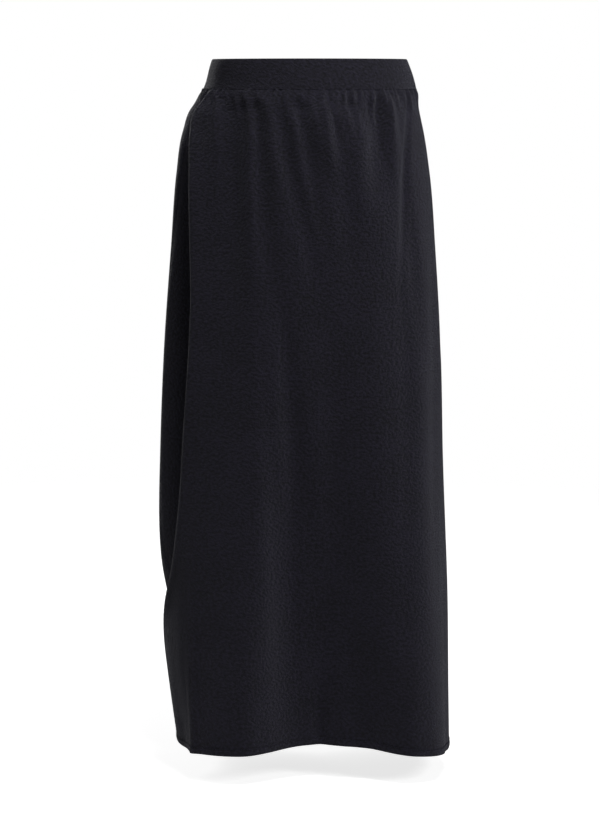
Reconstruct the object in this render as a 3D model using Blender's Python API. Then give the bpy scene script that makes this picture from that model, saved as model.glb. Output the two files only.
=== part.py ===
"""A long knit skirt in its worn shape.

A smooth elastic waistband carries a front and a back panel, gathered on to its lower edge, and each
panel ends in a narrow hem welt. Metres, +Z up. The front faces -Y and +X is the wearer's left. The
origin is the centre of the waistband's opening, at the middle of the band's height.
"""

import math
from collections import namedtuple

import bpy
import numpy as np

# Driving sizes
BAND_HEIGHT = 0.045
BAND_WALL = 0.0030
BAND_BULGE = 0.0012
BAND_ROUNDING = 0.0008
CLOTH_WALL = 0.0015
HEM_HEIGHT = 0.010
HEM_WALL = 0.0024
HEM_BULGE = 0.0006
SEAM_GAP = 0.0003
SKIRT_LENGTH = 0.963
WAIST_SEAM = -BAND_HEIGHT / 2
KNIT_COLOUR = (0.0125, 0.0118, 0.0165)
BAND_COLOUR = (0.0150, 0.0142, 0.0190)

# Plan of the cloth at each drop below the waist seam: how far it reaches from the vertical axis in
# eight directions. A negative drop is on the waistband.
Section = namedtuple(
    "Section", "drop right back_right back back_left left front_left front front_right"
)
SECTIONS = (
    Section(-0.045, 0.1430, 0.1196, 0.1050, 0.1196, 0.1430, 0.1196, 0.1050, 0.1196),
    Section(0.000, 0.1573, 0.1334, 0.1180, 0.1334, 0.1573, 0.1334, 0.1180, 0.1334),
    Section(0.012, 0.1605, 0.1375, 0.1220, 0.1395, 0.1660, 0.1410, 0.1228, 0.1386),
    Section(0.030, 0.1645, 0.1420, 0.1260, 0.1465, 0.1805, 0.1490, 0.1275, 0.1436),
    Section(0.060, 0.1720, 0.1482, 0.1315, 0.1540, 0.1900, 0.1565, 0.1315, 0.1500),
    Section(0.120, 0.1820, 0.1580, 0.1405, 0.1635, 0.1985, 0.1640, 0.1360, 0.1580),
    Section(0.235, 0.1920, 0.1680, 0.1490, 0.1720, 0.2060, 0.1725, 0.1405, 0.1660),
    Section(0.384, 0.2010, 0.1760, 0.1550, 0.1800, 0.2165, 0.1800, 0.1450, 0.1740),
    Section(0.533, 0.2010, 0.1800, 0.1585, 0.1860, 0.2230, 0.1870, 0.1490, 0.1820),
    Section(0.684, 0.2045, 0.1850, 0.1605, 0.1930, 0.2252, 0.1950, 0.1520, 0.1920),
    Section(0.836, 0.2060, 0.1895, 0.1620, 0.1910, 0.2142, 0.2030, 0.1540, 0.2030),
    Section(0.963, 0.2060, 0.1930, 0.1630, 0.1890, 0.1930, 0.2090, 0.1555, 0.2120),
)

# The deep tuck down each side. The place is the distance from the side seam towards the front. The
# lean carries the bottom of the tuck along under the ridge in front of it, which stands out by ridge.
Tuck = namedtuple("Tuck", "drop place reach depth lean ridge")
LEFT_TUCK = (
    Tuck(0.000, 0.016, 0.046, 0.000, 0.000, 0.000),
    Tuck(0.030, 0.016, 0.048, 0.016, 0.006, 0.002),
    Tuck(0.080, 0.029, 0.053, 0.034, 0.012, 0.005),
    Tuck(0.130, 0.036, 0.058, 0.043, 0.017, 0.006),
    Tuck(0.210, 0.045, 0.060, 0.050, 0.020, 0.005),
    Tuck(0.300, 0.056, 0.062, 0.056, 0.024, 0.005),
    Tuck(0.500, 0.058, 0.064, 0.060, 0.026, 0.004),
    Tuck(0.620, 0.053, 0.064, 0.056, 0.023, 0.004),
    Tuck(0.700, 0.038, 0.062, 0.046, 0.016, 0.004),
    Tuck(0.770, 0.006, 0.058, 0.032, 0.008, 0.002),
    Tuck(0.860, -0.024, 0.054, 0.019, 0.000, 0.000),
    Tuck(0.963, -0.036, 0.052, 0.009, 0.000, 0.000),
)
RIGHT_TUCK = (
    Tuck(0.000, 0.012, 0.042, 0.000, 0.000, 0.000),
    Tuck(0.060, 0.012, 0.045, 0.010, 0.000, 0.000),
    Tuck(0.250, 0.010, 0.048, 0.020, 0.004, 0.000),
    Tuck(0.400, 0.006, 0.048, 0.017, 0.004, 0.000),
    Tuck(0.560, 0.000, 0.046, 0.007, 0.000, 0.000),
    Tuck(0.700, 0.000, 0.046, 0.000, 0.000, 0.000),
    Tuck(0.963, 0.000, 0.046, 0.000, 0.000, 0.000),
)
RIDGE_PLACE = 0.78
RIDGE_REACH = 0.50

# Main creases and soft folds. Each lies at one distance across the skirt at its top and another at
# its foot, counted from the middle towards +X. A depth below nothing is a ridge.
Fold = namedtuple("Fold", "across_top across_foot reach depth top deepest foot")
FRONT_FOLDS = (
    Fold(-0.190, -0.188, 0.0600, 0.0110, 0.820, 1.000, 1.40),
    Fold(-0.184, -0.175, 0.0433, -0.0042, 0.000, 0.447, 1.49),
    Fold(-0.172, -0.168, 0.0180, -0.0045, 0.690, 0.930, 1.30),
    Fold(-0.155, -0.136, 0.0276, 0.0028, 0.008, 0.098, 0.42),
    Fold(-0.141, -0.163, 0.0120, 0.0023, 0.005, 0.027, 0.10),
    Fold(-0.135, -0.151, 0.0099, -0.0012, 0.018, 0.032, 0.14),
    Fold(-0.118, -0.125, 0.0179, 0.0015, 0.000, 0.015, 0.15),
    Fold(-0.117, -0.116, 0.0539, 0.0129, 0.000, 0.033, 0.71),
    Fold(-0.104, -0.096, 0.0104, 0.0012, 0.001, 0.026, 0.13),
    Fold(-0.090, -0.076, 0.0115, -0.0023, 0.002, 0.016, 0.17),
    Fold(-0.084, 0.017, 0.0283, 0.0063, 0.004, 0.030, 0.84),
    Fold(-0.079, -0.017, 0.0231, 0.0018, 0.053, 0.103, 1.47),
    Fold(-0.077, -0.066, 0.0122, 0.0012, 0.026, 0.057, 0.11),
    Fold(-0.072, -0.023, 0.0164, -0.0016, 0.000, 0.014, 0.12),
    Fold(-0.068, -0.064, 0.0426, 0.0024, 0.143, 0.787, 1.49),
    Fold(-0.049, 0.024, 0.0229, 0.0061, 0.016, 0.068, 0.35),
    Fold(-0.045, 0.024, 0.0599, 0.0128, 0.256, 0.802, 1.46),
    Fold(-0.040, -0.035, 0.0089, 0.0013, 0.009, 0.023, 0.08),
    Fold(-0.034, -0.025, 0.0229, 0.0014, 0.061, 0.102, 0.91),
    Fold(-0.020, 0.037, 0.0214, 0.0038, 0.004, 0.045, 0.17),
    Fold(-0.018, 0.024, 0.0190, 0.0063, 0.008, 0.029, 0.24),
    Fold(-0.018, 0.086, 0.0467, -0.0062, 0.002, 0.049, 0.21),
    Fold(-0.003, 0.006, 0.0101, 0.0029, 0.012, 0.029, 0.08),
    Fold(0.012, 0.014, 0.0154, 0.0039, 0.817, 0.973, 1.34),
    Fold(0.019, 0.039, 0.0125, -0.0041, 0.006, 0.024, 0.14),
    Fold(0.019, -0.084, 0.0598, 0.0122, 0.005, 0.658, 1.42),
    Fold(0.026, 0.023, 0.0455, 0.0139, 0.210, 0.663, 1.04),
    Fold(0.033, 0.057, 0.0103, -0.0017, 0.002, 0.018, 0.11),
    Fold(0.036, 0.028, 0.1350, 0.0380, 0.380, 1.000, 1.40),
    Fold(0.038, 0.068, 0.0271, 0.0047, 0.001, 0.075, 0.34),
    Fold(0.039, 0.098, 0.0594, 0.0093, 0.118, 0.488, 1.49),
    Fold(0.042, 0.168, 0.0443, -0.0043, 0.017, 0.044, 0.38),
    Fold(0.057, 0.072, 0.0114, 0.0030, 0.009, 0.023, 0.10),
    Fold(0.058, 0.058, 0.0244, 0.0022, 0.386, 0.768, 1.30),
    Fold(0.077, 0.075, 0.0211, -0.0030, 0.044, 0.064, 0.15),
    Fold(0.084, 0.141, 0.0413, 0.0055, 0.000, 0.036, 0.38),
    Fold(0.085, 0.130, 0.0162, 0.0024, 0.006, 0.024, 0.18),
    Fold(0.108, 0.094, 0.0600, 0.0135, 0.789, 0.962, 1.23),
    Fold(0.109, 0.133, 0.0150, -0.0038, 0.000, 0.021, 0.13),
    Fold(0.116, 0.171, 0.0557, -0.0050, 0.030, 0.901, 1.25),
    Fold(0.122, 0.180, 0.0218, 0.0029, 0.000, 0.051, 0.56),
    Fold(0.125, 0.106, 0.0377, -0.0054, 0.000, 0.035, 0.35),
    Fold(0.144, 0.126, 0.0123, 0.0041, 0.002, 0.029, 0.38),
    Fold(0.160, 0.163, 0.0403, -0.0072, 0.017, 0.424, 1.44),
    Fold(0.176, 0.190, 0.0460, -0.0100, 0.420, 0.960, 1.40),
)
BACK_FOLDS = (
    Fold(-0.128, -0.138, 0.012, 0.0045, 0.000, 0.050, 0.190),
    Fold(-0.078, -0.068, 0.013, 0.0050, 0.000, 0.060, 0.240),
    Fold(-0.038, -0.022, 0.011, 0.0035, 0.010, 0.050, 0.160),
    Fold(0.004, 0.000, 0.012, 0.0045, 0.000, 0.050, 0.210),
    Fold(0.044, 0.062, 0.024, 0.0060, 0.010, 0.140, 0.430),
    Fold(0.092, 0.102, 0.012, 0.0060, 0.000, 0.040, 0.170),
    Fold(0.128, 0.142, 0.012, 0.0035, 0.020, 0.080, 0.200),
    Fold(-0.104, -0.108, 0.011, -0.0030, 0.000, 0.045, 0.140),
    Fold(0.026, 0.030, 0.012, -0.0030, 0.000, 0.050, 0.160),
    Fold(0.062, 0.072, 0.040, -0.0090, 0.280, 0.660, 0.970),
    Fold(0.014, 0.006, 0.020, 0.0050, 0.350, 0.560, 0.820),
    Fold(-0.030, -0.040, 0.120, 0.0300, 0.360, 1.000, 1.400),
    Fold(-0.024, -0.030, 0.016, 0.0070, 0.620, 0.960, 1.400),
    Fold(-0.150, -0.158, 0.044, -0.0090, 0.450, 0.950, 1.400),
)

# The gathers along the waist seam, from the side seam on -X across the front: the step from one
# trough to the next, how deep it is from crest to trough, and how far down it runs.
Gather = namedtuple("Gather", "step depth run")
FRONT_GATHERS = (
    Gather(0.0163, 0.0023, 0.0400),
    Gather(0.0169, 0.0025, 0.0452),
    Gather(0.0099, 0.0050, 0.0847),
    Gather(0.0229, 0.0044, 0.0410),
    Gather(0.0109, 0.0004, 0.0152),
    Gather(0.0227, 0.0008, 0.0154),
    Gather(0.0156, 0.0008, 0.0178),
    Gather(0.0246, 0.0027, 0.0201),
    Gather(0.0185, 0.0010, 0.0318),
    Gather(0.0092, 0.0000, 0.0271),
    Gather(0.0123, 0.0022, 0.0313),
    Gather(0.0240, 0.0027, 0.0286),
    Gather(0.0169, 0.0001, 0.0393),
    Gather(0.0131, 0.0011, 0.0229),
    Gather(0.0184, 0.0034, 0.0411),
    Gather(0.0122, 0.0003, 0.0525),
    Gather(0.0134, 0.0000, 0.0249),
    Gather(0.0182, 0.0049, 0.0369),
    Gather(0.0148, 0.0005, 0.0357),
    Gather(0.0131, 0.0046, 0.0564),
    Gather(0.0236, 0.0049, 0.0838),
    Gather(0.0156, 0.0000, 0.0121),
    Gather(0.0205, 0.0048, 0.0502),
    Gather(0.0148, 0.0049, 0.0374),
    Gather(0.0161, 0.0014, 0.0257),
    Gather(0.0152, 0.0025, 0.0424),
    Gather(0.0147, 0.0023, 0.0399),
)
SEAM_GATHER = Gather(0.0140, 0.0023, 0.0400)
BACK_SHIFT = 11
BACK_GATHERS = (FRONT_GATHERS[BACK_SHIFT:] + FRONT_GATHERS[:BACK_SHIFT])[::-1]
PINCH_AT_SEAM = 0.5
PINCH_DROP = 0.009
STEADY_SHARE = 0.12

# How far the hem is lifted at each place round it. A place runs from 0 at the side seam on -X, over
# the front to 1 at the other side seam, and on over the back to 2.
Lift = namedtuple("Lift", "place lift")
HEM_LIFTS = (
    Lift(0.00, 0.006),
    Lift(0.12, -0.003),
    Lift(0.24, 0.000),
    Lift(0.36, 0.002),
    Lift(0.50, 0.007),
    Lift(0.64, 0.005),
    Lift(0.78, -0.003),
    Lift(0.90, -0.009),
    Lift(1.00, -0.007),
    Lift(1.25, 0.000),
    Lift(1.55, 0.005),
    Lift(1.80, 0.001),
    Lift(2.00, 0.006),
)

# Rows of the mesh, as drops below the waist seam
GATHERED_DROPS = (0.0, 0.006, 0.014, 0.027, 0.047, 0.076, 0.114)
HANGING_DROPS = (0.160, 0.214, 0.275, 0.341, 0.410, 0.480, 0.550, 0.615, 0.675, 0.730, 0.785, 0.840, 0.896)
QUARTERS_PER_GATHER = 4
BAND_COLUMNS = 72
ROUND = np.radians(np.linspace(180, 540, 1441))
SIDE_SEAM = 720


def through(rows, at):
    """The values of a table's other columns where its first column is at, on a smooth curve."""
    table = np.array(rows)
    knots = table[:, 0]
    values = table[:, 1:]
    slopes = np.gradient(values, knots, axis=0)
    index = int(np.clip(np.searchsorted(knots, at) - 1, 0, len(knots) - 2))
    span = knots[index + 1] - knots[index]
    part = (at - knots[index]) / span
    start_weight = 2 * part**3 - 3 * part**2 + 1
    start_slope = part**3 - 2 * part**2 + part
    end_slope = part**3 - part**2
    return (
        start_weight * values[index]
        + (1 - start_weight) * values[index + 1]
        + start_slope * span * slopes[index]
        + end_slope * span * slopes[index + 1]
    )


def rise(value, low, high):
    """Nothing up to low and one from high on, with a smooth step between."""
    part = np.clip((value - low) / (high - low), 0, 1)
    return part * part * (3 - 2 * part)


def bump(offset, reach):
    """One in the middle of a fold, falling smoothly to nothing at its reach to each side."""
    return np.clip(1 - (offset / reach) ** 2, 0, None) ** 3


def plain_ring(drop):
    """The smooth plan right round at a drop, with no folds, as x, y and the distance along it."""
    reaches = through(SECTIONS, drop)
    waves = np.fft.rfft(reaches) / len(reaches)
    radius = waves[0].real + waves[4].real * np.cos(4 * ROUND)
    for count in (1, 2, 3):
        radius = radius + 2 * (waves[count] * np.exp(1j * count * ROUND)).real
    x = radius * np.cos(ROUND)
    y = radius * np.sin(ROUND)
    along = np.concatenate([[0], np.cumsum(np.hypot(np.diff(x), np.diff(y)))])
    return x, y, along


def fold_depth(folds, drop, distance, x, along):
    """How far a panel's folds push the cloth in at each distance along the plain ring."""
    depth = np.zeros_like(distance)
    for fold in folds:
        strength = rise(drop, fold.top, fold.deepest) * (1 - rise(drop, fold.deepest, fold.foot))
        if strength == 0:
            continue
        part = np.clip((drop - fold.top) / (fold.foot - fold.top), 0, 1)
        across = fold.across_top + (fold.across_foot - fold.across_top) * part
        middle = np.interp(across, x, along)
        depth += fold.depth * strength * bump(distance - middle, fold.reach)
    return depth


def gather_push(gathers, drop, share):
    """How far the gathers push the cloth out, at each share of the way across a panel."""
    troughs = np.concatenate([[0], np.cumsum([gather.step for gather in gathers])])
    troughs = troughs / troughs[-1]
    middles = [0, *((troughs[:-1] + troughs[1:]) / 2), 1]
    shown = [SEAM_GATHER, *gathers, SEAM_GATHER]
    phase = np.interp(share, troughs, np.arange(len(troughs)))
    depth = np.interp(share, middles, [gather.depth for gather in shown])
    run = np.interp(share, middles, [gather.run for gather in shown])
    pinch = PINCH_AT_SEAM + (1 - PINCH_AT_SEAM) * rise(drop, 0, PINCH_DROP)
    fade = 1 - rise(drop / run, STEADY_SHARE, 1)
    return -0.5 * depth * pinch * fade * np.cos(2 * math.pi * phase)


def cloth_ring(drop, places):
    """Plan points on the cloth's outer side at a drop, at places round it, and its normals there."""
    x, y, along = plain_ring(drop)
    half = along[SIDE_SEAM]
    whole = along[-1]
    nudge = 0.0004
    middle_places = np.asarray(places)
    points = []
    for shift in (0, -nudge, nudge):
        place = (middle_places + shift) % 2
        distance = np.interp(place, [0, 1, 2], [0, half, whole])
        plan = np.stack([np.interp(distance, along, x), np.interp(distance, along, y)], axis=1)
        forward = np.stack(
            [
                np.interp(distance, along, np.gradient(x, along)),
                np.interp(distance, along, np.gradient(y, along)),
            ],
            axis=1,
        )
        forward /= np.linalg.norm(forward, axis=1, keepdims=True)
        outward = np.stack([forward[:, 1], -forward[:, 0]], axis=1)
        front = place < 1
        inward = np.where(
            front,
            fold_depth(FRONT_FOLDS, drop, distance, x[: SIDE_SEAM + 1], along[: SIDE_SEAM + 1]),
            fold_depth(BACK_FOLDS, drop, distance, x[:SIDE_SEAM:-1], along[:SIDE_SEAM:-1]),
        )
        pushed = np.where(
            front,
            gather_push(FRONT_GATHERS, drop, place),
            gather_push(BACK_GATHERS, drop, place - 1),
        )
        lean = np.zeros_like(distance)
        for table, seam, side in ((LEFT_TUCK, 0.0, 1), (RIGHT_TUCK, half, -1)):
            tuck_place, reach, depth, tuck_lean, ridge = through(table, drop)
            offset = (distance - seam - side * tuck_place + whole / 2) % whole - whole / 2
            inward = inward + depth * bump(offset, reach)
            inward = inward - ridge * bump(offset - side * RIDGE_PLACE * reach, RIDGE_REACH * reach)
            lean = lean + side * tuck_lean * bump(offset, reach)
        points.append(plan + outward * (pushed - inward)[:, None] + forward * lean[:, None])
    run = points[2] - points[1]
    run /= np.linalg.norm(run, axis=1, keepdims=True)
    return points[0], np.stack([run[:, 1], -run[:, 0]], axis=1)


def hem_lift(places):
    """How far the hem is lifted at places round it."""
    return np.array([through(HEM_LIFTS, place)[0] for place in places])


def cloth_row(drop, places, proud, wall):
    """One row of points on the cloth's outer side and one on its inner side."""
    plan, normals = cloth_ring(drop, places)
    height = WAIST_SEAM - drop * (1 - hem_lift(places) / SKIRT_LENGTH)
    outer = np.column_stack([plan + normals * proud, height])
    inner = np.column_stack([plan + normals * (proud - wall), height])
    return outer, inner


def strip(upper, lower, closed):
    """Triangles facing outwards between two rows, where the upper may have twice the points."""
    faces = []
    ratio = len(upper) // len(lower) if closed else (len(upper) - 1) // (len(lower) - 1)
    cells = len(lower) if closed else len(lower) - 1
    for cell in range(cells):
        low = lower[cell]
        next_low = lower[(cell + 1) % len(lower)]
        high = upper[cell * ratio]
        next_high = upper[(cell + 1) * ratio % len(upper)]
        if ratio == 1:
            faces += [(high, low, next_low), (high, next_low, next_high)]
        else:
            between = upper[cell * ratio + 1]
            faces += [(high, low, between), (between, low, next_low), (between, next_low, next_high)]
    return faces


def wall_object(name, rows, closed, colour):
    """A closed wall between the outer and inner points of its rows, from the top row down."""
    points = []
    outer = []
    inner = []
    for outer_row, inner_row in rows:
        for row, numbers in ((outer_row, outer), (inner_row, inner)):
            numbers.append(list(range(len(points), len(points) + len(row))))
            points.extend(row.tolist())
    faces = []
    for upper, lower in zip(outer, outer[1:]):
        faces += strip(upper, lower, closed)
    for upper, lower in zip(inner, inner[1:]):
        faces += [face[::-1] for face in strip(upper, lower, closed)]
    faces += strip(inner[0], outer[0], closed)
    faces += strip(outer[-1], inner[-1], closed)
    if not closed:
        start_out = [row[0] for row in outer]
        start_in = [row[0] for row in inner]
        end_out = [row[-1] for row in outer]
        end_in = [row[-1] for row in inner]
        faces += strip(start_out, start_in, False)
        faces += strip(end_in, end_out, False)
    mesh = bpy.data.meshes.new(name)
    mesh.from_pydata(points, [], faces)
    mesh.shade_smooth()
    mesh.set_sharp_from_angle(angle=math.radians(60))
    mesh.materials.append(knit(name, colour))
    made = bpy.data.objects.new(name, mesh)
    bpy.context.scene.collection.objects.link(made)
    return made


def knit(name, colour):
    """A dull dark knit."""
    material = bpy.data.materials.new(name + "_knit")
    material.use_nodes = True
    shader = material.node_tree.nodes["Principled BSDF"]
    shader.inputs["Base Color"].default_value = (*colour, 1)
    shader.inputs["Roughness"].default_value = 0.9
    shader.inputs["Metallic"].default_value = 0.0
    return material


def gather_places(gathers, side):
    """Places along the mesh's top rows: each trough and crest of a panel's gathers, and between."""
    troughs = np.concatenate([[0], np.cumsum([gather.step for gather in gathers])])
    troughs = troughs / troughs[-1]
    count = QUARTERS_PER_GATHER * len(gathers)
    share = np.interp(np.arange(count + 1) / QUARTERS_PER_GATHER, np.arange(len(troughs)), troughs)
    girth = plain_ring(0.5 * SKIRT_LENGTH)[2][SIDE_SEAM]
    edge = 0.5 * SEAM_GAP / girth
    return side + edge + share * (1 - 2 * edge)


def make_waistband():
    """The elastic band: one ring, a little round in its height, with softly rounded edges."""
    places = np.linspace(0, 2, BAND_COLUMNS, endpoint=False)
    rows = []
    for share, inset in ((0.0, 1), (0.07, 0), (0.5, 0), (0.93, 0), (1.0, 1)):
        drop = -BAND_HEIGHT * (1 - share)
        x, y, along = plain_ring(drop)
        distance = np.interp(places, [0, 1, 2], [0, along[SIDE_SEAM], along[-1]])
        plan = np.stack([np.interp(distance, along, x), np.interp(distance, along, y)], axis=1)
        outward = plan / np.linalg.norm(plan, axis=1, keepdims=True)
        proud = BAND_BULGE * math.sin(math.pi * share) - BAND_ROUNDING * inset
        wall = BAND_WALL - 2 * BAND_ROUNDING * inset
        height = np.full(len(places), WAIST_SEAM - drop)
        outer = np.column_stack([plan + outward * proud, height])
        inner = np.column_stack([plan + outward * (proud - wall), height])
        rows.append((outer, inner))
    return wall_object("waistband", rows, True, BAND_COLOUR)


def make_panel(name, gathers, side):
    """A panel: gathered rows with all its columns, then hanging rows with every second one."""
    places = gather_places(gathers, side)
    panel_foot = SKIRT_LENGTH - HEM_HEIGHT - SEAM_GAP
    rows = []
    for drop in GATHERED_DROPS:
        rows.append(cloth_row(drop + SEAM_GAP, places, 0, CLOTH_WALL))
    for drop in (*HANGING_DROPS, panel_foot):
        rows.append(cloth_row(drop, places[::2], 0, CLOTH_WALL))
    return wall_object(name, rows, False, KNIT_COLOUR)


def make_hem(name, gathers, side):
    """The welt under a panel, a little thicker than the cloth and round in its height."""
    places = gather_places(gathers, side)[::2]
    extra = (HEM_WALL - CLOTH_WALL) / 2
    rows = []
    for share in (0.0, 0.5, 1.0):
        drop = SKIRT_LENGTH - HEM_HEIGHT * (1 - share)
        proud = extra + HEM_BULGE * math.sin(math.pi * share)
        rows.append(cloth_row(drop, places, proud, HEM_WALL))
    return wall_object(name, rows, False, KNIT_COLOUR)


for old in list(bpy.data.objects):
    bpy.data.objects.remove(old, do_unlink=True)

make_waistband()
make_panel("front_panel", FRONT_GATHERS, 0)
make_panel("back_panel", BACK_GATHERS, 1)
make_hem("hem_front", FRONT_GATHERS, 0)
make_hem("hem_back", BACK_GATHERS, 1)
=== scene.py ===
"""The looks of a long black knit skirt in its worn shape, hung from its waistband.

Metres, +Z up. The front faces -Y and +X is the wearer's left. The origin is the centre of the
waistband's opening, at the middle of the band's height.
"""

import math
from collections import namedtuple

import bpy
import numpy as np
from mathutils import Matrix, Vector


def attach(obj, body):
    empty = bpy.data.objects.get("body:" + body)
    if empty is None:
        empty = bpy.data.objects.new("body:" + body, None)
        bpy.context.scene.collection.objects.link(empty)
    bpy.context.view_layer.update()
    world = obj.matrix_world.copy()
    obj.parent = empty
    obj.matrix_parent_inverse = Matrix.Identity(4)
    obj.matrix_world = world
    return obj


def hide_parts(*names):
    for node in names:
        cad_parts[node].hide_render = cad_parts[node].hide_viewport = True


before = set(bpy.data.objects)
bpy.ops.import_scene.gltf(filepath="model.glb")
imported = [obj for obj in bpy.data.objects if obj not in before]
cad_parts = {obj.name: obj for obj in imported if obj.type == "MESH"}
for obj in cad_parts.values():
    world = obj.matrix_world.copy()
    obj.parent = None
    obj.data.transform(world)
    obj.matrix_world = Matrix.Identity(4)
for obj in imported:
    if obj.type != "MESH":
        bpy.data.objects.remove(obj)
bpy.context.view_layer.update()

# The front and back panels. Each is a piece of fine plain knit in black wool and viscose yarn, cut
# wider towards the hem, gathered on to the waistband and linked to the other one down both sides.
CLOTH_WALL = 0.0015
SEAM_GAP = 0.0003
BAND_HEIGHT = 0.045
HEM_HEIGHT = 0.010
SKIRT_LENGTH = 0.963
WAIST_SEAM = -BAND_HEIGHT / 2
PANEL_COLUMNS = 256
PANEL_ROWS = 176
TOP_ROW_SHARE = 0.16
ROW_SPREAD = 1.6

# The seams draw the cloth in: in a shallow groove down each side, and along the top edge, which is
# tucked in behind the band.
PANEL_ACROSS = 0.6
SIDE_GROOVE = 0.0009
SIDE_GROOVE_REACH = 0.006
TUCKED_IN = 0.0009
TUCKED_DROPS = (-0.0022, -0.0011)
TUCKED_OUT_DROP = 0.0030

# Plan of the cloth at each drop below the waist seam: how far it reaches from the vertical axis in
# eight directions. A negative drop is on the waistband.
Section = namedtuple(
    "Section", "drop right back_right back back_left left front_left front front_right"
)
SECTIONS = (
    Section(-0.045, 0.1430, 0.1196, 0.1050, 0.1196, 0.1430, 0.1196, 0.1050, 0.1196),
    Section(0.000, 0.1573, 0.1334, 0.1180, 0.1334, 0.1573, 0.1334, 0.1180, 0.1334),
    Section(0.012, 0.1605, 0.1375, 0.1220, 0.1395, 0.1660, 0.1410, 0.1228, 0.1386),
    Section(0.030, 0.1645, 0.1420, 0.1260, 0.1465, 0.1805, 0.1490, 0.1275, 0.1436),
    Section(0.060, 0.1720, 0.1482, 0.1315, 0.1540, 0.1900, 0.1565, 0.1315, 0.1500),
    Section(0.120, 0.1820, 0.1580, 0.1405, 0.1635, 0.1985, 0.1640, 0.1360, 0.1580),
    Section(0.235, 0.1920, 0.1680, 0.1490, 0.1720, 0.2060, 0.1725, 0.1405, 0.1660),
    Section(0.384, 0.2010, 0.1760, 0.1550, 0.1800, 0.2165, 0.1800, 0.1450, 0.1740),
    Section(0.533, 0.2010, 0.1800, 0.1585, 0.1860, 0.2230, 0.1870, 0.1490, 0.1820),
    Section(0.684, 0.2045, 0.1850, 0.1605, 0.1930, 0.2252, 0.1950, 0.1520, 0.1920),
    Section(0.836, 0.2060, 0.1895, 0.1620, 0.1910, 0.2142, 0.2030, 0.1540, 0.2030),
    Section(0.963, 0.2060, 0.1930, 0.1630, 0.1890, 0.1930, 0.2090, 0.1555, 0.2120),
)

# The deep tuck down each side. The place is the distance from the side seam towards the front. The
# lean carries the bottom of the tuck along under the ridge in front of it, which stands out by ridge.
Tuck = namedtuple("Tuck", "drop place reach depth lean ridge")
LEFT_TUCK = (
    Tuck(0.000, 0.016, 0.046, 0.000, 0.000, 0.000),
    Tuck(0.030, 0.016, 0.048, 0.016, 0.006, 0.002),
    Tuck(0.080, 0.029, 0.053, 0.034, 0.012, 0.005),
    Tuck(0.130, 0.036, 0.058, 0.043, 0.017, 0.006),
    Tuck(0.210, 0.045, 0.060, 0.050, 0.020, 0.005),
    Tuck(0.300, 0.056, 0.062, 0.056, 0.024, 0.005),
    Tuck(0.500, 0.058, 0.064, 0.060, 0.026, 0.004),
    Tuck(0.620, 0.053, 0.064, 0.056, 0.023, 0.004),
    Tuck(0.700, 0.038, 0.062, 0.046, 0.016, 0.004),
    Tuck(0.770, 0.006, 0.058, 0.032, 0.008, 0.002),
    Tuck(0.860, -0.024, 0.054, 0.019, 0.000, 0.000),
    Tuck(0.963, -0.036, 0.052, 0.009, 0.000, 0.000),
)
RIGHT_TUCK = (
    Tuck(0.000, 0.012, 0.042, 0.000, 0.000, 0.000),
    Tuck(0.060, 0.012, 0.045, 0.010, 0.000, 0.000),
    Tuck(0.250, 0.010, 0.048, 0.020, 0.004, 0.000),
    Tuck(0.400, 0.006, 0.048, 0.017, 0.004, 0.000),
    Tuck(0.560, 0.000, 0.046, 0.007, 0.000, 0.000),
    Tuck(0.700, 0.000, 0.046, 0.000, 0.000, 0.000),
    Tuck(0.963, 0.000, 0.046, 0.000, 0.000, 0.000),
)
# The middle of that ridge and its reach, as shares of the tuck's own reach.
RIDGE_PLACE = 0.78
RIDGE_REACH = 0.50

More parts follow.
